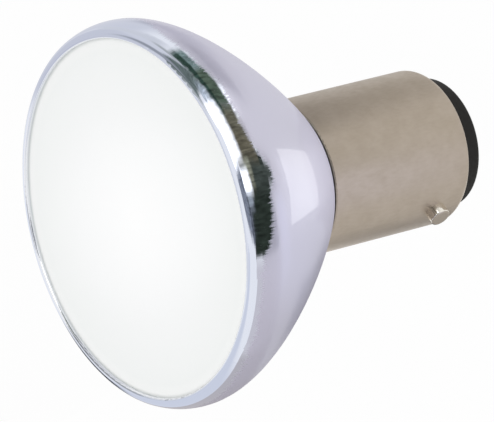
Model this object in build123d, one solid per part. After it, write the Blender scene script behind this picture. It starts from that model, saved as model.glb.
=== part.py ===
from build123d import *
import math
import os

# Bowl of the reflector, all lengths in millimetres
bowl_radius = 18.5
bowl_widest_at = 2.5
bowl_depth = 17.9
bowl_front_pull = 4.4
bowl_back_pull = 3.0
bowl_back_slope = 51.0
shoulder_round = 0.5
sheet = 0.45

# Rolled rim that holds the front glass
rim_step = 0.37
rim_depth = 0.6
rim_round = 0.87
rim_wall = 0.5
rim_rise_out = 0.25
rim_rise_back = 0.55
rim_rise_pull = 0.83
lip_thickness = 0.4
lip_overlap = 0.5
lip_edge_round = 0.18
glass_clearance = 0.05
glass_thickness = 1.5
glass_chamfer = 0.15

# Cap shell
shell_radius = 7.55
shell_wall = 0.4
shell_gap = 0.3
shell_length = 16.6
shell_end_round = 0.75
shell_front_round = 0.2
neck_length = 5.0

# Bayonet pins
pin_radius = 1.0
pin_stand = 1.05
pin_stem_radius = 0.7
pin_inside = 0.6
pin_edge_round = 0.2
pin_from_end = 3.5

# Insulator and contacts
insulator_inset = 1.2
insulator_stand = 2.1
insulator_edge_round = 0.43
flange_thickness = 1.4
contact_inset = 2.65
contact_radius = 2.0
contact_thickness = 0.6
contact_recess = 0.35
contact_edge_round = 0.12
solder_radius = 1.25
solder_height = 0.65

# Capsule, cement and leads
capsule_radius = 4.4
capsule_length = 11.5
tip_radius = 0.6
tip_length = 0.8
pinch_width = 8.4
pinch_thickness = 3.2
pinch_length = 9.0
pinch_behind = 2.4
pinch_edge_round = 0.5
cement_length = 4.0
wire_radius = 0.3
wire_spacing = 3.6
wire_straight = 1.2
wire_bend = 1.0
wire_clearance = 0.08

# Fineness of the inside of the bowl: points of its section, and halvings in the search for its front end
inside_spans = 14
halvings = 40

# Sizes that follow from those above
rim_radius = bowl_radius - rim_step
pocket_radius = rim_radius - rim_wall
glass_radius = pocket_radius - glass_clearance
lip_radius = glass_radius - lip_overlap
lip_edge = lip_radius + lip_edge_round
lip_crest = rim_radius - math.sqrt(rim_depth * (2 * rim_round - rim_depth))
glass_back = lip_thickness + glass_thickness
shell_bore = shell_radius - shell_wall
neck_bore = shell_bore - sheet
shell_front = bowl_depth + shell_gap
shell_end = shell_front + shell_length
shell_lip = shell_end - shell_wall
shell_inner_round = shell_end_round - shell_wall
insulator_radius = shell_radius - insulator_inset
insulator_front = shell_lip - flange_thickness
insulator_end = shell_end + insulator_stand
contact_middle = insulator_radius - contact_inset
neck_end = bowl_depth + neck_length
pinch_end = neck_end + pinch_behind
capsule_front = pinch_end - pinch_length - capsule_length
contact_seat = insulator_end - contact_recess
contact_face = contact_seat + contact_thickness
origin_at = shell_end - pin_from_end


# A point of a turned section: distance from the lamp's axis, distance behind the front of the rim
def at(radius, behind):
    return Vector(radius, behind - origin_at, 0)


# Arc about the given centre that rounds a section from one point to the next
def corner(start, end, centre):
    middle = (start + end) * 0.5 - centre
    return ThreePointArc(start, centre + middle.normalized() * (start - centre).length, end)


# Solid turned about the lamp's axis from the edges of its section
def turned(edges):
    return revolve(make_face(edges), Axis.Y, 360)


# Round bar along the lamp's axis
def bar(radius, start, end, up=0.0):
    plane = Plane(origin=(0, start - origin_at, up), z_dir=(0, 1, 0))
    return extrude(plane * Circle(radius), end - start)


# Reflector: the outside of the bowl runs from its widest ring to the flat shoulder in front of the cap
slope = math.radians(bowl_back_slope)
back_end = at(
    shell_radius + shoulder_round * math.cos(slope),
    bowl_depth - shoulder_round * (1 - math.sin(slope)),
)
back_way = Vector(-math.sin(slope), math.cos(slope), 0)
widest = at(bowl_radius, bowl_widest_at)
rim_back = at(rim_radius, rim_depth)
bowl_outside = Bezier(
    widest,
    widest + Vector(0, bowl_front_pull, 0),
    back_end - back_way * bowl_back_pull,
    back_end,
)
rim_rise = Bezier(
    rim_back,
    rim_back + Vector(rim_rise_out, rim_rise_back, 0),
    widest - Vector(0, rim_rise_pull, 0),
    widest,
)
shoulder_start = at(shell_radius, bowl_depth)
shoulder_centre = at(shell_radius, bowl_depth - shoulder_round)


# A point of the inside of the bowl, one sheet thickness in from the outside
def inside(share):
    way = bowl_outside % share
    return bowl_outside @ share + Vector(-way.Y, way.X, 0) * sheet


low = 0.0
high = 1.0
for step in range(halvings):
    half = (low + high) / 2
    if inside(half).X > lip_radius:
        low = half
    else:
        high = half
inside_points = [inside(high + (1 - high) * k / inside_spans) for k in range(inside_spans + 1)]
inside_points[0] = Vector(lip_radius, inside_points[0].Y, 0)
neck_corner = at(neck_bore, bowl_depth - sheet)

reflector = turned([
    Line(at(lip_radius, lip_thickness), at(lip_radius, lip_edge_round)),
    corner(at(lip_radius, lip_edge_round), at(lip_edge, 0), at(lip_edge, lip_edge_round)),
    Line(at(lip_edge, 0), at(lip_crest, 0)),
    corner(at(lip_crest, 0), rim_back, at(lip_crest, rim_round)),
    rim_rise,
    bowl_outside,
    corner(back_end, shoulder_start, shoulder_centre),
    Line(shoulder_start, at(shell_bore, bowl_depth)),
    Line(at(shell_bore, bowl_depth), at(shell_bore, neck_end)),
    Line(at(shell_bore, neck_end), at(neck_bore, neck_end)),
    Line(at(neck_bore, neck_end), neck_corner),
    Line(neck_corner, inside_points[-1]),
    Spline(*reversed(inside_points)),
    Line(inside_points[0], at(lip_radius, glass_back)),
    Line(at(lip_radius, glass_back), at(pocket_radius, glass_back)),
    Line(at(pocket_radius, glass_back), at(pocket_radius, lip_thickness)),
    Line(at(pocket_radius, lip_thickness), at(lip_radius, lip_thickness)),
])

# Front glass, held between the lip and the seat in the bowl
front_glass = bar(glass_radius, lip_thickness, glass_back)
front_glass = chamfer(front_glass.edges().filter_by(GeomType.CIRCLE), glass_chamfer)

# Cap shell with a turned-in end, and a hole for each pin
cap_shell = turned([
    Line(at(shell_radius, shell_front + shell_front_round), at(shell_radius, shell_end - shell_end_round)),
    corner(
        at(shell_radius, shell_end - shell_end_round),
        at(shell_radius - shell_end_round, shell_end),
        at(shell_radius - shell_end_round, shell_end - shell_end_round),
    ),
    Line(at(shell_radius - shell_end_round, shell_end), at(insulator_radius, shell_end)),
    Line(at(insulator_radius, shell_end), at(insulator_radius, shell_lip)),
    Line(at(insulator_radius, shell_lip), at(shell_bore - shell_inner_round, shell_lip)),
    corner(
        at(shell_bore - shell_inner_round, shell_lip),
        at(shell_bore, shell_lip - shell_inner_round),
        at(shell_bore - shell_inner_round, shell_lip - shell_inner_round),
    ),
    Line(at(shell_bore, shell_lip - shell_inner_round), at(shell_bore, shell_front)),
    Line(at(shell_bore, shell_front), at(shell_radius - shell_front_round, shell_front)),
    corner(
        at(shell_radius - shell_front_round, shell_front),
        at(shell_radius, shell_front + shell_front_round),
        at(shell_radius - shell_front_round, shell_front + shell_front_round),
    ),
])

# Bayonet pins along X: a stub seated on the shell, with a stem riveted through its wall
barrel = bar(shell_radius, shell_front, shell_end)
bayonet_pins = []
for side in (1, -1):
    stub_base = Plane(origin=(side * shell_bore, 0, 0), z_dir=(side, 0, 0))
    stub = extrude(stub_base * Circle(pin_radius), shell_wall + pin_stand)
    tip = stub.faces().sort_by(Axis.X)[-1 if side > 0 else 0]
    stub = fillet(tip.edges(), pin_edge_round) - barrel
    stem_base = Plane(origin=(side * (shell_bore - pin_inside), 0, 0), z_dir=(side, 0, 0))
    stem = extrude(stem_base * Circle(pin_stem_radius), pin_inside + shell_wall + pin_stand / 2)
    cap_shell -= stem
    bayonet_pins.append(stub + stem)

# Insulator: a flange behind the turned-in end of the shell and a nose through it
cap_insulator = turned([
    Line(at(0, insulator_front), at(shell_bore, insulator_front)),
    Line(at(shell_bore, insulator_front), at(shell_bore, shell_lip - shell_inner_round)),
    corner(
        at(shell_bore, shell_lip - shell_inner_round),
        at(shell_bore - shell_inner_round, shell_lip),
        at(shell_bore - shell_inner_round, shell_lip - shell_inner_round),
    ),
    Line(at(shell_bore - shell_inner_round, shell_lip), at(insulator_radius, shell_lip)),
    Line(at(insulator_radius, shell_lip), at(insulator_radius, insulator_end - insulator_edge_round)),
    corner(
        at(insulator_radius, insulator_end - insulator_edge_round),
        at(insulator_radius - insulator_edge_round, insulator_end),
        at(insulator_radius - insulator_edge_round, insulator_end - insulator_edge_round),
    ),
    Line(at(insulator_radius - insulator_edge_round, insulator_end), at(0, insulator_end)),
    Line(at(0, insulator_end), at(0, insulator_front)),
])

# Capsule: a round bulb with a sealed-off tip in front and a flat pinch behind
bulb_front = capsule_front + capsule_radius
bulb_back = capsule_front + capsule_length - capsule_radius
bulb_end = capsule_front + capsule_length
halogen_capsule = turned([
    corner(at(0, capsule_front), at(capsule_radius, bulb_front), at(0, bulb_front)),
    Line(at(capsule_radius, bulb_front), at(capsule_radius, bulb_back)),
    corner(at(capsule_radius, bulb_back), at(0, bulb_end), at(0, bulb_back)),
    Line(at(0, bulb_end), at(0, capsule_front)),
])
halogen_capsule += bar(tip_radius, capsule_front - tip_length, bulb_front)
pinch_section = Plane(origin=(0, bulb_back - origin_at, 0), z_dir=(0, 1, 0), x_dir=(1, 0, 0))
pinch = extrude(
    pinch_section * RectangleRounded(pinch_thickness, pinch_width, pinch_edge_round),
    pinch_end - bulb_back,
)
halogen_capsule += pinch

# Cement plug in the neck, moulded around the pinch
capsule_cement = bar(neck_bore, neck_end - cement_length, neck_end) - pinch

# Leads, contacts and solder, one set above the axis and one below
lead_wires = []
contact_plates = []
solder_points = []
for side in (1, -1):
    wire_up = side * wire_spacing / 2
    contact_up = side * contact_middle
    bend_start = pinch_end + wire_straight
    bend_end = insulator_front - wire_straight
    path = FilletPolyline(
        (0, pinch_end - origin_at, wire_up),
        (0, bend_start - origin_at, wire_up),
        (0, bend_end - origin_at, contact_up),
        (0, contact_face - origin_at, contact_up),
        radius=wire_bend,
    )
    lead_wires.append(sweep(Plane(origin=path @ 0, z_dir=path % 0) * Circle(wire_radius), path))
    wire_hole = bar(wire_radius + wire_clearance, insulator_front, insulator_end, contact_up)
    cap_insulator -= bar(contact_radius, contact_seat, insulator_end, contact_up) + wire_hole
    plate = bar(contact_radius, contact_seat, contact_face, contact_up)
    plate = fillet(plate.faces().sort_by(Axis.Y)[-1].edges(), contact_edge_round)
    contact_plates.append(plate - bar(wire_radius, contact_seat, contact_face, contact_up))
    sphere_radius = (solder_radius**2 + solder_height**2) / (2 * solder_height)
    dome_centre = contact_face + solder_height - sphere_radius - origin_at
    dome = Pos(0, dome_centre, contact_up) * Sphere(sphere_radius)
    solder_points.append(dome & bar(solder_radius, contact_face, contact_face + solder_height, contact_up))

nodes = {
    "reflector": reflector,
    "front_glass": front_glass,
    "cap_shell": cap_shell,
    "bayonet_pin_right": bayonet_pins[0],
    "bayonet_pin_left": bayonet_pins[1],
    "cap_insulator": cap_insulator,
    "halogen_capsule": halogen_capsule,
    "capsule_cement": capsule_cement,
    "lead_wire_top": lead_wires[0],
    "lead_wire_bottom": lead_wires[1],
    "contact_plate_top": contact_plates[0],
    "contact_plate_bottom": contact_plates[1],
    "solder_point_top": solder_points[0],
    "solder_point_bottom": solder_points[1],
}

os.makedirs("parts", exist_ok=True)
for name, shape in nodes.items():
    export_step(shape, "parts/" + name + ".step")
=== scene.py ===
import math

import bpy
from mathutils import Matrix, Vector


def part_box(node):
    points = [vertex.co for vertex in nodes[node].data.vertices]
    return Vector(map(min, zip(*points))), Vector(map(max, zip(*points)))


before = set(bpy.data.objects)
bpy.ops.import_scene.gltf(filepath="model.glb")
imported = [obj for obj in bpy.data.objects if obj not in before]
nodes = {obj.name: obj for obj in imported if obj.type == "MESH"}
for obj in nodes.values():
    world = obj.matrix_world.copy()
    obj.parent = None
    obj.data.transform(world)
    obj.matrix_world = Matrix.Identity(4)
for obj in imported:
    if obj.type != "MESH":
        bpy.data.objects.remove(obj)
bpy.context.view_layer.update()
mm = 0.001
noiseLow, noiseHigh = 0.3, 0.7  # a noise texture's values lie mostly between these
print("frame loaded:", len(nodes), "nodes")


# sRGB hex to linear colour
def colour(code):
    parts = [int(code[k:k + 2], 16) / 255 for k in (1, 3, 5)]
    return [c / 12.92 if c <= 0.04045 else ((c + 0.055) / 1.055) ** 2.4 for c in parts] + [1.0]


# adds one node: settings are its attributes, a ramp's tones as (place, colour) pairs, or a curve's points
# with straight runs between them; inputs are values or (node, output) links
def addNode(tree, kind, settings=None, inputs=None):
    node = tree.nodes.new("ShaderNode" + kind)
    for key, value in (settings or {}).items():
        if key == "tones":
            elements = node.color_ramp.elements
            while len(elements) < len(value):
                elements.new(1.0)
            for element, (place, code) in zip(elements, value):
                element.position = place
                element.color = colour(code)
        elif key == "points":
            points = node.mapping.curves[0].points
            while len(points) < len(value):
                points.new(1.0, 1.0)
            for point, place in zip(points, value):
                point.location = place
                point.handle_type = "VECTOR"
            node.mapping.update()
        else:
            setattr(node, key, value)
    for key, value in (inputs or {}).items():
        if isinstance(value, tuple) and hasattr(value[0], "outputs"):
            tree.links.new(value[0].outputs[value[1]], node.inputs[key])
        else:
            node.inputs[key].default_value = value
    return node


# empty material with its output node
def newMaterial(name):
    material = bpy.data.materials.new(name)
    material.use_nodes = True
    material.node_tree.nodes.clear()
    return material, material.node_tree, addNode(material.node_tree, "OutputMaterial")


# point around the lamp's axis (Y) at one radius, so a pattern wraps with no seam
def aroundAxis(tree, radiusMm, pitchMm, runMm):
    place = addNode(tree, "TexCoord")
    split = addNode(tree, "SeparateXYZ", None, {0: (place, "Object")})
    flat = addNode(tree, "CombineXYZ", None, {0: (split, 0), 2: (split, 2)})
    ring = addNode(tree, "VectorMath", {"operation": "NORMALIZE"}, {0: (flat, 0)})
    wide = addNode(tree, "VectorMath", {"operation": "SCALE"}, {0: (ring, 0), "Scale": radiusMm / pitchMm})
    along = addNode(tree, "Math", {"operation": "MULTIPLY"}, {0: (split, 1), 1: 1 / (runMm * mm)})
    lift = addNode(tree, "CombineXYZ", None, {1: (along, 0)})
    return addNode(tree, "VectorMath", {"operation": "ADD"}, {0: (wide, 0), 1: (lift, 0)})


# distance of a point from the lamp's axis, from its split coordinates
def fromAxis(tree, split):
    flat = addNode(tree, "CombineXYZ", None, {0: (split, 0), 2: (split, 2)})
    return addNode(tree, "VectorMath", {"operation": "LENGTH"}, {0: (flat, 0)})


# Anodised aluminium: a satin bowl under a clear seal, soft and pale, and a burnished rim that mirrors the
# room, with a ragged border between them where the burnishing stops. Angles are in degrees about the lamp's
# axis, from the right-hand pin
bowlFinish = {
    "radiusMm": 18.5,
    "satin": "#cac8d9",
    "satinMetal": 0.06,
    "satinRoughness": 0.45,
    "satinSpecular": 0.1,
    "burnished": "#dfe4f1",
    "burnishedRoughness": 0.07,
    "fadeMetal": 0.4,
    "fadeRoughness": 0.28,
    "fadeMm": 3.5,
    "seal": 0.08,
    "sealRoughness": 0.05,
    # painted reflection on the lip's cut edge: light and dark tones by angle, standing in for what the crest
    # mirrors
    "lipPaintedReflection": [
        (-180, "#d3d8e6"), (-166, "#eef0f6"), (-143, "#f7f8fb"), (-136, "#a3a9b8"), (-126, "#a9afbd"),
        (-120, "#eef1f6"), (-96, "#f5f6f8"), (-91, "#72777d"), (-72, "#7c8188"), (-56, "#8e94a0"),
        (-48, "#c6ccda"), (0, "#e2e7f0"), (110, "#e6e9f0"), (155, "#d0d5e6"),
    ],
    "lipReachMm": (17.26, 17.34),
    "lipMm": 0.5,
    "lipWall": "#eceef2",
    "lipWallMm": (17.14, 17.22),
    "lipStreakShift": 0.03,  # share of a turn that the streaks shift the lip's painted reflection by
    "borderMm": [
        (-180, 2.0), (20, 1.0), (33, 1.0), (36, 1.15), (38, 1.5), (40, 2.05), (44, 2.4), (50, 2.6),
        (55, 2.8), (57, 3.4), (61, 3.5), (64, 2.8), (68, 2.4), (73, 2.1), (80, 2.3), (88, 2.3),
        (92, 2.05), (97, 1.85), (104, 1.7), (109, 1.6), (115, 1.75), (125, 2.4), (140, 2.8), (180, 2.0),
    ],
    "borderTopMm": 4.0,
    "blendMm": 0.22,
    "raggedMm": 1.5,
    "streakMm": 0.2,
    "streakRunMm": 7.0,
    "streakDepthMm": 0.002,
    "driftMm": 0.5,
    "driftPitchMm": 3.0,
    "driftRunMm": 6.0,
    "driftDepthMm": 0.004,
    # painted shade in the gap behind the shoulder, and where along the axis it starts
    "neck": "#14110d",
    "neckMm": (17.84, 17.89),
}


# mm behind the rim, made ragged by the noises and measured from the border's depth at that angle
def pastBorder(tree, behind, turn, streaks, drift):
    finish = bowlFinish
    ragged = addNode(tree, "Math", {"operation": "MULTIPLY_ADD"}, {
        0: (streaks, 0), 1: finish["raggedMm"], 2: (behind, 0),
    })
    edge = addNode(tree, "Math", {"operation": "MULTIPLY_ADD"}, {
        0: (drift, 0), 1: finish["driftMm"], 2: (ragged, 0),
    })
    top = finish["borderTopMm"]
    border = addNode(tree, "FloatCurve", {
        "points": [((degrees + 180) / 360, depth / top) for degrees, depth in finish["borderMm"]],
    }, {"Value": (turn, 0)})
    return addNode(tree, "Math", {"operation": "MULTIPLY_ADD"}, {0: (border, 0), 1: -top, 2: (edge, 0)})


# colour of the bowl with the lip's cut edge inside its crest, where light and dark patches by angle are a
# painted reflection, and a plain pale tone on its inner wall
def withLip(tree, tone, split, behind, turn, streaks):
    finish = bowlFinish
    reach = fromAxis(tree, split)
    inner, outer = [value * mm for value in finish["lipReachMm"]]
    inside = addNode(tree, "MapRange", None, {0: (reach, "Value"), 1: inner, 2: outer, 3: 1.0, 4: 0.0})
    ahead = addNode(tree, "Math", {"operation": "LESS_THAN"}, {0: (behind, 0), 1: finish["lipMm"]})
    onEdge = addNode(tree, "Math", {"operation": "MULTIPLY"}, {0: (inside, 0), 1: (ahead, 0)})
    streakShift = finish["lipStreakShift"]
    streakShifted = addNode(tree, "Math", {"operation": "MULTIPLY_ADD"}, {0: (streaks, 0), 1: streakShift, 2: (turn, 0)})
    cut = addNode(tree, "ValToRGB", {
        "tones": [((degrees + 180) / 360 + streakShift / 2, code) for degrees, code in finish["lipPaintedReflection"]],
    }, {0: (streakShifted, 0)})
    inner, outer = [value * mm for value in finish["lipWallMm"]]
    onWall = addNode(tree, "MapRange", None, {0: (reach, "Value"), 1: inner, 2: outer, 3: 1.0, 4: 0.0})
    cut = addNode(tree, "Mix", {"data_type": "RGBA"}, {
        0: (onWall, 0), 6: (cut, 0), 7: colour(finish["lipWall"]),
    })
    return addNode(tree, "Mix", {"data_type": "RGBA"}, {0: (onEdge, 0), 6: (tone, 0), 7: (cut, 2)})


def anodisedAluminium():
    material, tree, output = newMaterial("anodised_aluminium")
    finish = bowlFinish
    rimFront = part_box("reflector")[0][1]
    place = addNode(tree, "TexCoord")
    split = addNode(tree, "SeparateXYZ", None, {0: (place, "Object")})
    behind = addNode(tree, "MapRange", {"clamp": False}, {
        0: (split, 1), 1: rimFront, 2: rimFront + mm, 3: 0.0, 4: 1.0,
    })
    angle = addNode(tree, "Math", {"operation": "ARCTAN2"}, {0: (split, 2), 1: (split, 0)})
    turn = addNode(tree, "MapRange", None, {0: (angle, 0), 1: -math.pi, 2: math.pi, 3: 0.0, 4: 1.0})
    streaks = addNode(tree, "TexNoise", None, {
        "Vector": (aroundAxis(tree, finish["radiusMm"], finish["streakMm"], finish["streakRunMm"]), 0),
        "Scale": 1.0,
        "Detail": 3.0,
    })
    drift = addNode(tree, "TexNoise", None, {
        "Vector": (aroundAxis(tree, finish["radiusMm"], finish["driftPitchMm"], finish["driftRunMm"]), 0),
        "Scale": 1.0,
        "Detail": 1.0,
    })
    edge = pastBorder(tree, behind, turn, streaks, drift)
    middle = (finish["raggedMm"] + finish["driftMm"]) / 2
    isSatin = addNode(tree, "MapRange", {"interpolation_type": "SMOOTHSTEP"}, {
        0: (edge, 0), 1: middle - finish["blendMm"], 2: middle + finish["blendMm"], 3: 0.0, 4: 1.0,
    })
    tone = addNode(tree, "ValToRGB", {
        "tones": [(0.0, finish["burnished"]), (1.0, finish["satin"])],
    }, {0: (isSatin, 0)})
    edgeToned = withLip(tree, tone, split, behind, turn, streaks)
    # the shine fades out over a few mm behind the border
    faded = addNode(tree, "MapRange", {"interpolation_type": "SMOOTHSTEP"}, {
        0: (edge, 0), 1: middle, 2: middle + finish["fadeMm"], 3: 0.0, 4: 1.0,
    })
    dull = addNode(tree, "MapRange", None, {
        0: (faded, 0), 3: finish["fadeRoughness"], 4: finish["satinRoughness"],
    })
    shine = addNode(tree, "MapRange", None, {0: (faded, 0), 3: finish["fadeMetal"], 4: finish["satinMetal"]})
    haze = addNode(tree, "MapRange", None, {0: (isSatin, 0), 3: finish["burnishedRoughness"], 4: (dull, 0)})
    metal = addNode(tree, "MapRange", None, {0: (isSatin, 0), 3: 1.0, 4: (shine, 0)})
    slow = addNode(tree, "Bump", None, {"Height": (drift, 0), "Distance": finish["driftDepthMm"] * mm})
    fine = addNode(tree, "Bump", None, {
        "Height": (streaks, 0), "Distance": finish["streakDepthMm"] * mm, "Normal": (slow, 0),
    })
    shader = addNode(tree, "BsdfPrincipled", None, {
        "Base Color": (edgeToned, 2),
        "Metallic": (metal, 0),
        "Roughness": (haze, 0),
        "Specular IOR Level": finish["satinSpecular"],
        "Normal": (fine, 0),
    })
    gloss = addNode(tree, "BsdfGlossy", None, {"Roughness": finish["sealRoughness"], "Normal": (fine, 0)})
    sealed = addNode(tree, "MixShader", None, {0: finish["seal"], 1: (shader, 0), 2: (gloss, 0)})
    # painted shade: behind the shoulder the bowl is drawn dark and matt, so that the gap before the cap
    # looks shadowed
    start, end = finish["neckMm"]
    inGap = addNode(tree, "MapRange", None, {0: (behind, 0), 1: start, 2: end, 3: 0.0, 4: 1.0})
    rough = addNode(tree, "BsdfDiffuse", None, {"Color": colour(finish["neck"])})
    whole = addNode(tree, "MixShader", None, {0: (inGap, 0), 1: (sealed, 0), 2: (rough, 0)})
    tree.links.new(whole.outputs[0], output.inputs[0])
    return material


# Acid-frosted soda-lime glass: matt and milky white, with a painted glow palest in the middle, painted grey
# shade at the edge, and an etched grain, which is finer on the real glass and is drawn as coarse as it needs
# to show
glassFinish = {
    "reachMm": 17.6,
    # painted glow falling off from the middle, a painted lighter ring that offsets the lip's shade, and
    # painted grey shade at the very edge
    "tones": [
        (0.0, "#fdfdfd"), (0.5, "#f8f9f9"), (0.9, "#f3f5f4"), (0.955, "#f8f9f8"), (0.97, "#dfe2e0"),
    ],
    "roughness": (0.44, 0.56),
    "ior": 1.5,
    "grainMm": 0.12,
    "grainDepthMm": 0.002,
}


def frostedGlass():
    material, tree, output = newMaterial("acid_frosted_glass")
    finish = glassFinish
    place = addNode(tree, "TexCoord")
    split = addNode(tree, "SeparateXYZ", None, {0: (place, "Object")})
    share = addNode(tree, "MapRange", None, {
        0: (fromAxis(tree, split), "Value"), 1: 0.0, 2: finish["reachMm"] * mm, 3: 0.0, 4: 1.0,
    })
    tone = addNode(tree, "ValToRGB", {"tones": finish["tones"]}, {0: (share, 0)})
    grain = addNode(tree, "TexNoise", None, {
        "Vector": (place, "Object"), "Scale": 1 / (finish["grainMm"] * mm), "Detail": 2.0,
    })
    etched = addNode(tree, "Bump", None, {"Height": (grain, 0), "Distance": finish["grainDepthMm"] * mm})
    low, high = finish["roughness"]
    matt = addNode(tree, "MapRange", None, {0: (grain, 0), 1: noiseLow, 2: noiseHigh, 3: low, 4: high})
    shader = addNode(tree, "BsdfPrincipled", None, {
        "Base Color": (tone, 0),
        "Roughness": (matt, 0),
        "IOR": finish["ior"],
        "Normal": (etched, 0),
    })
    tree.links.new(shader.outputs[0], output.inputs[0])
    return material


# Dull nickel plate on drawn brass: warm grey, a little cloudy, soft highlights, and lighter at both ends,
# partly from rubbing and partly a painted highlight on the edges
shellFinish = {
    "radiusMm": 7.55,
    "nickel": "#b3a799",
    "cloud": "#aea293",
    "cloudMm": 1.6,
    "cloudBand": (0.35, 0.65),
    # lighter at both ends: partly rubbing, partly a painted highlight on the edges
    "endWearAndHighlight": "#c9bfb0",
    "endWearAndHighlightMm": (0.12, 0.2),
    "endWearAndHighlightFade": 1.2,  # the lighter ends are gone at so many times their reach
    "roughness": (0.37, 0.5),
    "grainMm": 0.25,
    "grainRunMm": 0.75,
    "grainDepthMm": 0.004,
}


def nickelPlate():
    material, tree, output = newMaterial("dull_nickel_plated_brass")
    finish = shellFinish
    place = addNode(tree, "TexCoord")
    cloud = addNode(tree, "TexNoise", None, {
        "Vector": (place, "Object"), "Scale": 1 / (finish["cloudMm"] * mm), "Detail": 4.0,
    })
    grain = addNode(tree, "TexNoise", None, {
        "Vector": (aroundAxis(tree, finish["radiusMm"], finish["grainMm"], finish["grainRunMm"]), 0),
        "Scale": 1.0,
        "Detail": 3.0,
    })
    low, high = finish["cloudBand"]
    tone = addNode(tree, "ValToRGB", {
        "tones": [(low, finish["cloud"]), (high, finish["nickel"])],
    }, {0: (cloud, 0)})
    split = addNode(tree, "SeparateXYZ", None, {0: (place, "Object")})
    front, rear = [corner[1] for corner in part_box("cap_shell")]
    frontReach, rearReach = [value * mm for value in finish["endWearAndHighlightMm"]]
    fade = finish["endWearAndHighlightFade"]
    atFront = addNode(tree, "MapRange", None, {
        0: (split, 1), 1: front + frontReach, 2: front + frontReach * fade, 3: 1.0, 4: 0.0,
    })
    atRear = addNode(tree, "MapRange", None, {
        0: (split, 1), 1: rear - rearReach * fade, 2: rear - rearReach, 3: 0.0, 4: 1.0,
    })
    atEnds = addNode(tree, "Math", {"operation": "MAXIMUM"}, {0: (atFront, 0), 1: (atRear, 0)})
    edgeToned = addNode(tree, "Mix", {"data_type": "RGBA"}, {
        0: (atEnds, 0), 6: (tone, 0), 7: colour(finish["endWearAndHighlight"]),
    })
    low, high = finish["roughness"]
    dull = addNode(tree, "MapRange", None, {0: (grain, 0), 1: noiseLow, 2: noiseHigh, 3: low, 4: high})
    skin = addNode(tree, "Bump", None, {"Height": (grain, 0), "Distance": finish["grainDepthMm"] * mm})
    shader = addNode(tree, "BsdfPrincipled", None, {
        "Base Color": (edgeToned, 2), "Metallic": 1.0, "Roughness": (dull, 0), "Normal": (skin, 0),
    })
    tree.links.new(shader.outputs[0], output.inputs[0])
    return material


# Turned nickel-plated pin: a bright polished side that mirrors its surroundings, and a duller cut end
pinFinish = {
    "side": "#ebe6dc",
    "sideRoughness": 0.1,
    "end": "#a69c8f",
    "endRoughness": 0.4,
    "endMm": 0.14,
    "grainMm": 0.5,
    "grainDepthMm": 0.006,
}


def turnedPin():
    material, tree, output = newMaterial("turned_nickel_plate")
    finish = pinFinish
    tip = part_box("bayonet_pin_right")[1][0]
    place = addNode(tree, "TexCoord")
    split = addNode(tree, "SeparateXYZ", None, {0: (place, "Object")})
    out = addNode(tree, "Math", {"operation": "ABSOLUTE"}, {0: (split, 0)})
    endReach = finish["endMm"] * mm
    isEnd = addNode(tree, "MapRange", None, {
        0: (out, 0), 1: tip - endReach, 2: tip - endReach / 2, 3: 0.0, 4: 1.0,
    })
    tone = addNode(tree, "ValToRGB", {
        "tones": [(0.0, finish["side"]), (1.0, finish["end"])],
    }, {0: (isEnd, 0)})
    matt = addNode(tree, "MapRange", None, {
        0: (isEnd, 0), 3: finish["sideRoughness"], 4: finish["endRoughness"],
    })
    grain = addNode(tree, "TexNoise", None, {
        "Vector": (place, "Object"), "Scale": 1 / (finish["grainMm"] * mm), "Detail": 3.0,
    })
    skin = addNode(tree, "Bump", None, {"Height": (grain, 0), "Distance": finish["grainDepthMm"] * mm})
    shader = addNode(tree, "BsdfPrincipled", None, {
        "Base Color": (tone, 0), "Metallic": 1.0, "Roughness": (matt, 0), "Normal": (skin, 0),
    })
    tree.links.new(shader.outputs[0], output.inputs[0])
    return material


# Plain materials that only differ by a few numbers: moulded black and nearly matt, clear and smooth, cast
# and chalky, drawn, stamped or soldered and bright, each with a fine grain
plainFinishes = {
    "black_moulded_phenolic": {
        "low": "#0b0905", "high": "#13100a", "metal": 0.0, "roughness": 0.6, "grainMm": 0.3,
    },
    "clear_quartz": {"low": "#dfe6e8", "high": "#f2f6f7", "metal": 0.0, "roughness": 0.08, "grainMm": 3.0},
    "cast_basing_cement": {
        "low": "#b9b1a2", "high": "#d8d2c6", "metal": 0.0, "roughness": 0.9, "grainMm": 0.4,
    },
    "drawn_nickel_wire": {
        "low": "#8f8a84", "high": "#b9b4ac", "metal": 1.0, "roughness": 0.35, "grainMm": 0.4,
    },
    "stamped_contact_brass": {
        "low": "#a98646", "high": "#c9a45c", "metal": 1.0, "roughness": 0.3, "grainMm": 0.5,
    },
    "tin_solder": {"low": "#9a9b9e", "high": "#c4c5c8", "metal": 1.0, "roughness": 0.32, "grainMm": 0.5},
}
plainGrain = {"depthMm": 0.004, "roughnessShare": 0.15, "specular": 0.3}


def plainMaterial(name):
    material, tree, output = newMaterial(name)
    finish = plainFinishes[name]
    place = addNode(tree, "TexCoord")
    grain = addNode(tree, "TexNoise", None, {
        "Vector": (place, "Object"), "Scale": 1 / (finish["grainMm"] * mm), "Detail": 3.0,
    })
    tone = addNode(tree, "ValToRGB", {
        "tones": [(noiseLow, finish["low"]), (noiseHigh, finish["high"])],
    }, {0: (grain, 0)})
    skin = addNode(tree, "Bump", None, {"Height": (grain, 0), "Distance": plainGrain["depthMm"] * mm})
    share = plainGrain["roughnessShare"]
    low, high = finish["roughness"] * (1 - share), min(1.0, finish["roughness"] * (1 + share))
    matt = addNode(tree, "MapRange", None, {0: (grain, 0), 1: noiseLow, 2: noiseHigh, 3: low, 4: high})
    shader = addNode(tree, "BsdfPrincipled", None, {
        "Base Color": (tone, 0),
        "Metallic": finish["metal"],
        "Roughness": (matt, 0),
        "Specular IOR Level": plainGrain["specular"],
        "Normal": (skin, 0),
    })
    tree.links.new(shader.outputs[0], output.inputs[0])
    return material


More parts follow.
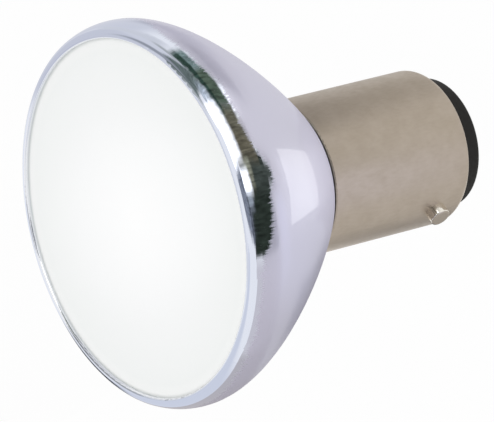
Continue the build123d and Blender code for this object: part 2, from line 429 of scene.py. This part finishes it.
plain = {name: plainMaterial(name) for name in plainFinishes}
pinMaterial = turnedPin()
finishes = {
    "reflector": anodisedAluminium(),
    "front_glass": frostedGlass(),
    "cap_shell": nickelPlate(),
    "bayonet_pin_right": pinMaterial,
    "bayonet_pin_left": pinMaterial,
    "cap_insulator": plain["black_moulded_phenolic"],
    "halogen_capsule": plain["clear_quartz"],
    "capsule_cement": plain["cast_basing_cement"],
    "lead_wire_top": plain["drawn_nickel_wire"],
    "lead_wire_bottom": plain["drawn_nickel_wire"],
    "contact_plate_top": plain["stamped_contact_brass"],
    "contact_plate_bottom": plain["stamped_contact_brass"],
    "solder_point_top": plain["tin_solder"],
    "solder_point_bottom": plain["tin_solder"],
}
for name, material in finishes.items():
    nodes[name].data.materials.clear()
    nodes[name].data.materials.append(material)
print("materials assigned:", len(finishes))


# Camera at the photograph's angle, turned about its own axis as the lamp lies in the frame
cameraSet = {
    "aimMm": (4.92, -22.76, 4.04),
    "azimuth": 37.79,
    "elevation": 42.88,
    "roll": 26.91,
    "distanceMm": 512.8,
    "focalPixels": 5520,
    "frameWidth": 494,
    "sensorMm": 36,
    "clipStartMm": 10,
}


def addCamera():
    azimuth, elevation = math.radians(cameraSet["azimuth"]), math.radians(cameraSet["elevation"])
    level = math.cos(elevation)
    back = Vector((math.sin(azimuth) * level, -math.cos(azimuth) * level, math.sin(elevation)))
    right = Vector((math.cos(azimuth), math.sin(azimuth), 0))
    up = back.cross(right)
    data = bpy.data.cameras.new("camera")
    data.sensor_width = cameraSet["sensorMm"]
    data.lens = cameraSet["focalPixels"] / cameraSet["frameWidth"] * data.sensor_width
    data.clip_start = cameraSet["clipStartMm"] * mm
    camera = bpy.data.objects.new("camera", data)
    bpy.context.scene.collection.objects.link(camera)
    roll = Matrix.Rotation(math.radians(cameraSet["roll"]), 4, "Z")
    place = Matrix((right, up, back)).transposed().to_4x4() @ roll
    place.translation = Vector(cameraSet["aimMm"]) * mm + back * cameraSet["distanceMm"] * mm
    camera.matrix_world = place
    bpy.context.scene.camera = camera


addCamera()
print("camera ready")


def stagePiece(name, vertsMm, faces, material, unseen=True):
    mesh = bpy.data.meshes.new(name)
    mesh.from_pydata([Vector(v) * mm for v in vertsMm], [], faces)
    mesh.materials.append(material)
    piece = bpy.data.objects.new(name, mesh)
    bpy.context.scene.collection.objects.link(piece)
    if unseen:
        piece.visible_camera = False
        piece.visible_diffuse = False
        piece.visible_shadow = False
    return piece


# lets a lamp or a glowing piece light one node of the part alone
def lightOnly(lamp, node):
    lit = bpy.data.collections.new("lit_by_" + lamp.name)
    lit.objects.link(nodes[node])
    lamp.light_linking.receiver_collection = lit


# turns a lamp towards a point
def aimLamp(lamp, point):
    lamp.rotation_euler = (point - lamp.location).to_track_quat("-Z", "Y").to_euler()


# 1 where the camera sees the background, straight or in metal and glass
def seenAsBackground(tree):
    path = addNode(tree, "LightPath")
    seen = addNode(tree, "Math", {"operation": "MAXIMUM"}, {
        0: (path, "Is Camera Ray"), 1: (path, "Is Glossy Ray"),
    })
    return addNode(tree, "Math", {"operation": "MAXIMUM"}, {0: (seen, 0), 1: (path, "Is Transmission Ray")})


# Even white surround over a pale floor, which keeps a faint shadow
surround = {
    "tone": "#fafafa",
    "seenTone": "#fefefe",
    "floorMm": -60,
    "floorSizeMm": 4000,
    "floorTone": "#fbfbfb",
    "floorLight": "#ffffff",
    "floorGlow": 0.9,
}


def addSurround():
    world = bpy.data.worlds.new("white_surround")
    bpy.context.scene.world = world
    world.use_nodes = True
    tree = world.node_tree
    tone = addNode(tree, "Mix", {"data_type": "RGBA"}, {
        0: (seenAsBackground(tree), 0), 6: colour(surround["tone"]), 7: colour(surround["seenTone"]),
    })
    tree.links.new(tone.outputs[2], tree.nodes["Background"].inputs[0])
    material, tree, output = newMaterial("pale_floor")
    matt = addNode(tree, "BsdfDiffuse", None, {"Color": colour(surround["floorTone"])})
    glow = addNode(tree, "Emission", None, {"Color": colour(surround["floorLight"])})
    share = addNode(tree, "Math", {"operation": "MULTIPLY"}, {
        0: (seenAsBackground(tree), 0), 1: surround["floorGlow"],
    })
    mixed = addNode(tree, "MixShader", None, {0: (share, 0), 1: (matt, 0), 2: (glow, 0)})
    tree.links.new(mixed.outputs[0], output.inputs[0])
    half, z = surround["floorSizeMm"] / 2, surround["floorMm"]
    corners = [(-half, -half, z), (half, -half, z), (half, half, z), (-half, half, z)]
    stagePiece("floor", corners, [(0, 1, 2, 3)], material, unseen=False)


# Dark card under the lamp, sloping as the ground that it lies on does, seen only from above
groundCard = {
    "tone": "#3c3c40",
    "atMm": (34, 34, -32),
    "facing": (-0.41, -0.11, 0.91),
    "halfMm": 70,
}


def addGroundCard():
    material, tree, output = newMaterial("ground_card")
    side = addNode(tree, "NewGeometry")
    grey = addNode(tree, "Emission", None, {"Color": colour(groundCard["tone"])})
    clear = addNode(tree, "BsdfTransparent")
    mixed = addNode(tree, "MixShader", None, {0: (side, "Backfacing"), 1: (grey, 0), 2: (clear, 0)})
    tree.links.new(mixed.outputs[0], output.inputs[0])
    half = groundCard["halfMm"]
    turn = Vector(groundCard["facing"]).to_track_quat("Z", "Y")
    centre = Vector(groundCard["atMm"])
    square = ((-half, -half), (half, -half), (half, half), (-half, half))
    corners = [centre + turn @ Vector((x, y, 0)) for x, y in square]
    card = stagePiece("ground_card", corners, [(0, 1, 2, 3)], material)
    card.visible_diffuse = True
    card.visible_glossy = False


# Room that the bright rim mirrors: a tube around the lamp, clear between its patches
room = {
    "radiusMm": 30,
    "reachMm": (-140, 45),
    "sides": 72,
    "turn": (-90, 270),
    "wanderMm": 5.0,
    "wanderBand": (0.25, 0.75),
    "wander": (1.6, 0.7),  # how far the noise moves an edge, in degrees and in mm
    "mottleMm": 0.5,
    "mottleRunMm": 8.0,
    "mottle": 0.6,
    "leanFrom": (-33, 0),  # the place along, in mm, and the turn, in degrees, where a lean is nought
}
# each patch is laid over the last: turn in degrees about the lamp's axis from the right-hand pin, and reach
# in mm along it, both with how soft the edges are, one value or one for each edge; lean is how far the turn
# slides with the place along, and the place along with the turn; a plain patch has straight edges and one
# tone
roomPatches = {
    "pale_wall": {
        "tone": "#c6c1c2", "plain": True, "turn": (-90, -12, 6), "reach": (-31.6, -12, 0.5),
        "lean": (0, 0.06),
    },
    "pale_corner": {
        "tone": "#d8d4d7", "plain": True, "turn": (-13, 29, 6), "reach": (-31.6, -11, 0.5),
        "lean": (0, 0.06),
    },
    "pale_ground": {
        "tone": "#e2e5ed", "plain": True, "turn": (-90, -25, 12), "reach": (-150, -31.6, 0.5),
        "lean": (0, 0.06),
    },
    "grey_front": {
        "tone": "#6b7672", "turn": (98, 150, 3), "reach": (-88, -30.8, 28, 0.6), "lean": (0.75, 0),
    },
    "pale_front": {
        "tone": "#e3e4e9", "plain": True, "turn": (117, 195, 4), "reach": (-90, -31, 28, 0.6),
        "lean": (1.6, 0),
    },
    "pale_top": {"tone": "#dfe0e6", "plain": True, "turn": (142, 215, 8), "reach": (-29, -12, 3)},
    "pale_crest": {"tone": "#dadbe2", "plain": True, "turn": (155, 205, 5), "reach": (-60, -30, 3)},
    "pale_crease": {"tone": "#e0e1e4", "plain": True, "turn": (128, 165, 6), "reach": (-34, -27.5, 0.8)},
    "grey_crease": {"tone": "#b9bcbc", "plain": True, "turn": (117, 133, 4), "reach": (-34, -30, 0.7)},
    "dim_line": {"tone": "#a2a5ab", "plain": True, "turn": (130, 176, 10), "reach": (-60, -46, 3)},
    "pale_back": {
        "tone": "#eef0ff", "strength": 1.35, "plain": True, "turn": (5, 50, 8), "reach": (-12, 14, 5),
    },
    "dim_back": {"tone": "#5e5e68", "plain": True, "turn": (104, 138, 8), "reach": (-21, 2, 4)},
    "dim_behind": {"tone": "#adadb8", "plain": True, "turn": (138, 164, 8), "reach": (-18, 6, 3.5)},
    "dim_under": {"tone": "#101012", "plain": True, "turn": (-120, -55, 15), "reach": (4, 31, 7)},
    "dim_beyond": {"tone": "#101012", "plain": True, "turn": (245, 300, 12), "reach": (4, 31, 7)},
    "dim_over": {"tone": "#dddcdb", "plain": True, "turn": (118, 160, 10), "reach": (2, 24, 5)},
    "dim_below": {"tone": "#4a4f55", "turn": (257, 300, 6), "reach": (-34, -15, 2)},
    "dim_turn": {"tone": "#4a4f55", "turn": (-120, -84, 5), "reach": (-34, -15, 2)},
    "dim_right": {"tone": "#2f362f", "turn": (30, 71, 1.5), "reach": (-33.5, -16, 0.8)},
    "dim_tongue": {"tone": "#474d47", "turn": (55, 68, 6), "reach": (-28, -4, 2)},
    "dim_brown": {"tone": "#6e6856", "turn": (67, 85, 5), "reach": (-33.5, -20.5, 1)},
    "dim_olive": {"tone": "#6f6b5a", "turn": (79, 92, 3), "reach": (-33.5, -22.5, 1)},
    "dim_green": {"tone": "#586656", "turn": (90, 112, 3), "reach": (-30.8, -22.3, 1)},
    "dim_far": {"tone": "#7d8f8a", "turn": (110, 124, 2.5), "reach": (-30.8, -24, 1)},
    "slate_front": {"tone": "#858a95", "turn": (36, 67, 5), "reach": (-120, -34.5, 3)},
    "slate_edge": {"tone": "#636871", "turn": (34, 53, 3), "reach": (-38, -33, 1)},
    "slate_pale": {"tone": "#a0a7af", "turn": (49, 57, 2.5), "reach": (-34.5, -31.2, 0.8)},
    "grey_warm": {"tone": "#90907d", "turn": (57, 68, 3), "reach": (-31.5, -27, 0.8)},
    "shade_green": {"tone": "#35493f", "turn": (88, 123, 3), "reach": (-30.8, -28.6, 0.5)},
    "pale_streak": {"tone": "#c9d2da", "turn": (95, 104, 4), "reach": (-42, -31, 0.8)},
    "bright_door": {
        "tone": "#ffffff", "strength": 2.2, "mottle": 0.2, "turn": (69, 95, 4), "reach": (-60, -31.3, 1.8),
    },
    "bright_far": {
        "tone": "#ffffff", "strength": 2.2, "mottle": 0.2, "turn": (74, 90, 4), "reach": (-85, -36, 2),
        "lean": (0.75, 0),
    },
    "bright_gap": {
        "tone": "#ffffff", "strength": 2.2, "mottle": 0.2, "turn": (55.5, 64.5, 3),
        "reach": (-36.5, -30.4, 1.3),
    },
    "bright_fleck": {"tone": "#ffffff", "strength": 1.4, "turn": (86, 101, 3), "reach": (-22, -17, 1)},
}


# 1 inside a patch and 0 outside it, from the turn and the place along
def withinPatch(tree, patch, places):
    leans = patch.get("lean", (0, 0))
    within = None
    for k, (low, high, *soft) in enumerate((patch["turn"], patch["reach"])):
        where = places[k]
        if leans[k]:
            slide = addNode(tree, "Math", {"operation": "MULTIPLY_ADD"}, {
                0: (places[1 - k], 0), 1: leans[k], 2: -leans[k] * room["leanFrom"][k],
            })
            where = addNode(tree, "Math", {"operation": "ADD"}, {0: (where, 0), 1: (slide, 0)})
        for middle, blur, before, after in ((low, soft[0], 0.0, 1.0), (high, soft[-1], 1.0, 0.0)):
            edge = addNode(tree, "MapRange", {"interpolation_type": "SMOOTHSTEP"}, {
                0: (where, 0), 1: middle - blur, 2: middle + blur, 3: before, 4: after,
            })
            if within:
                edge = addNode(tree, "Math", {"operation": "MULTIPLY"}, {0: (within, 0), 1: (edge, 0)})
            within = edge
    return within


def roomMaterial():
    material, tree, output = newMaterial("mirrored_room")
    material.cycles.emission_sampling = "NONE"
    place = addNode(tree, "TexCoord")
    split = addNode(tree, "SeparateXYZ", None, {0: (place, "Object")})
    angle = addNode(tree, "Math", {"operation": "ARCTAN2"}, {0: (split, 2), 1: (split, 0)})
    degrees = addNode(tree, "Math", {"operation": "DEGREES"}, {0: (angle, 0)})
    start, end = room["turn"]
    degrees = addNode(tree, "Math", {"operation": "WRAP"}, {0: (degrees, 0), 1: end, 2: start})
    along = addNode(tree, "Math", {"operation": "MULTIPLY"}, {0: (split, 1), 1: 1 / mm})
    steady = [degrees, along]
    wander = addNode(tree, "TexNoise", None, {
        "Vector": (place, "Object"), "Scale": 1 / (room["wanderMm"] * mm), "Detail": 4.0,
    })
    drift = addNode(tree, "SeparateColor", None, {0: (wander, "Color")})
    low, high = room["wanderBand"]
    ragged = []
    for k, reach in enumerate(room["wander"]):
        shift = addNode(tree, "MapRange", None, {0: (drift, k), 1: low, 2: high, 3: -reach, 4: reach})
        ragged.append(addNode(tree, "Math", {"operation": "ADD"}, {0: (steady[k], 0), 1: (shift, 0)}))
    grain = addNode(tree, "TexNoise", None, {
        "Vector": (aroundAxis(tree, room["radiusMm"], room["mottleMm"], room["mottleRunMm"]), 0),
        "Scale": 1.0,
        "Detail": 4.0,
    })
    shader = addNode(tree, "BsdfTransparent")
    for patch in roomPatches.values():
        level = patch.get("strength", 1.0)
        isPlain = patch.get("plain", False)
        change = 0 if isPlain else level * patch.get("mottle", room["mottle"])
        mottle = addNode(tree, "MapRange", None, {
            0: (grain, 0), 1: noiseLow, 2: noiseHigh, 3: level - change, 4: level + change,
        })
        glow = addNode(tree, "Emission", None, {"Color": colour(patch["tone"]), "Strength": (mottle, 0)})
        within = withinPatch(tree, patch, steady if isPlain or "lean" in patch else ragged)
        shader = addNode(tree, "MixShader", None, {0: (within, 0), 1: (shader, 0), 2: (glow, 0)})
    tree.links.new(shader.outputs[0], output.inputs[0])
    return material


def addRoom():
    sides = room["sides"]
    verts = []
    for k in range(sides):
        turn = 2 * math.pi * k / sides
        for y in room["reachMm"]:
            verts.append((math.cos(turn) * room["radiusMm"], y, math.sin(turn) * room["radiusMm"]))
    count = len(verts)
    faces = [(2 * k, 2 * k + 1, (2 * k + 3) % count, (2 * k + 2) % count) for k in range(sides)]
    stagePiece("mirrored_room", verts, faces, roomMaterial())


# Window-like panels, each seen in one node alone, which let the rest of the room through
panelTone = "#ffffff"
panels = {
    "bowl_window": {
        "lights": "reflector",
        "strength": 1.9,
        "cornersMm": [(17.5, -9, 11.8), (5.5, -9, 18.6), (2.6, -9, 9.4), (8.3, -9, 5.0)],
    },
    "shell_window": {
        "lights": "cap_shell",
        "strength": 0.95,
        "cornersMm": [(-24, -14, -21), (10, -14, -21), (10, 40, -21), (-24, 40, -21)],
    },
    "pin_window": {
        "lights": "bayonet_pin_right",
        "strength": 1.6,
        "cornersMm": [(-17, -36, 27), (-3, -36, 27), (-3, -12, 27), (-17, -12, 27)],
    },
}


def addPanel(name):
    panel = panels[name]
    material, tree, output = newMaterial(name)
    glow = addNode(tree, "Emission", None, {"Color": colour(panelTone), "Strength": panel["strength"]})
    clear = addNode(tree, "BsdfTransparent")
    both = addNode(tree, "AddShader", None, {0: (glow, 0), 1: (clear, 0)})
    tree.links.new(both.outputs[0], output.inputs[0])
    lightOnly(stagePiece(name, panel["cornersMm"], [(0, 1, 2, 3)], material), panel["lights"])


# Soft lamp in front of the glass
frontLamp = {"atMm": (0, -420, 60), "sizeMm": 260, "watts": 0.09}


def addFrontLamp():
    data = bpy.data.lights.new("front_lamp", "AREA")
    data.shape = "DISK"
    data.size = frontLamp["sizeMm"] * mm
    data.energy = frontLamp["watts"]
    lamp = bpy.data.objects.new("front_lamp", data)
    lamp.location = Vector(frontLamp["atMm"]) * mm
    glassLow, glassHigh = [Vector(corner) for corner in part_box("front_glass")]
    aimLamp(lamp, (glassLow + glassHigh) / 2)
    lamp.visible_glossy = False
    bpy.context.scene.collection.objects.link(lamp)


# Soft-edged spots, each on one node alone
spots = {
    "bowl_spot": {
        "lights": "reflector", "tone": "#e8eaff", "watts": 0.6,
        "fromMm": (155, 200, 195), "aimMm": (7.3, -16, 9.3), "reachMm": 8,
    },
    "bowl_front_spot": {
        "lights": "reflector", "tone": "#e2eaff", "watts": 0.55,
        "fromMm": (230, 110, 210), "aimMm": (13.8, -25, 10.8), "reachMm": 8.5,
    },
    "glass_spot": {
        "lights": "front_glass", "tone": "#ffffff", "watts": 0.5,
        "fromMm": (224.5, -320.5, 340), "aimMm": (0, -30.2, 0), "reachMm": 11,
    },
}


def addSpot(name):
    spot = spots[name]
    data = bpy.data.lights.new(name, "SPOT")
    lamp = bpy.data.objects.new(name, data)
    lamp.location = Vector(spot["fromMm"]) * mm
    aim = Vector(spot["aimMm"]) * mm
    aimLamp(lamp, aim)
    data.spot_size = 2 * math.atan(spot["reachMm"] * mm / (aim - lamp.location).length)
    data.spot_blend = 1.0
    data.energy = spot["watts"]
    data.color = colour(spot["tone"])[:3]
    lamp.visible_glossy = False
    bpy.context.scene.collection.objects.link(lamp)
    lightOnly(lamp, spot["lights"])


addSurround()
addGroundCard()
addRoom()
for name in panels:
    addPanel(name)
addFrontLamp()
for name in spots:
    addSpot(name)
bpy.context.scene.view_settings.view_transform = "Standard"
print("studio ready")
